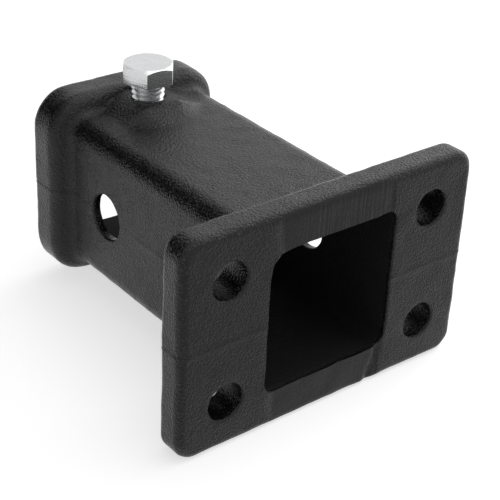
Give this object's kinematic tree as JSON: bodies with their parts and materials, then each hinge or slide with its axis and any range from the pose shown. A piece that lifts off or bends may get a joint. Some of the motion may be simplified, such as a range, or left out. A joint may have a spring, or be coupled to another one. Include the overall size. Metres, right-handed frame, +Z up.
{
  "type": "bolt-on receiver tube",
  "caption": "Cast square receiver tube with a bolting flange, a thick collar round its mouth, cross pin holes and a set bolt that takes up play.",
  "frame": {"origin": "centre of the four flange holes, in the plane of the flange's bolting face", "axes": "+Y along the tube from the flange towards the collar, +Z up towards the set bolt, +X to the right seen from the flange"},
  "size_m": [0.122, 0.13, 0.0874],
  "materials": {
    "black_powder_coat": "fine-textured satin black powder coat over an as-cast surface",
    "zinc_plated_steel": "bright zinc plating"
  },
  "bodies": {
    "receiver": {"receiver_casting": "black_powder_coat"},
    "bolt": {"set_bolt": "zinc_plated_steel"}
  },
  "joints": [
    {"name": "set_bolt_travel", "type": "slide", "parent": "receiver", "child": "bolt", "axis": [0, 0, 1], "range_m": [-0.0045, 0.008]}
  ]
}
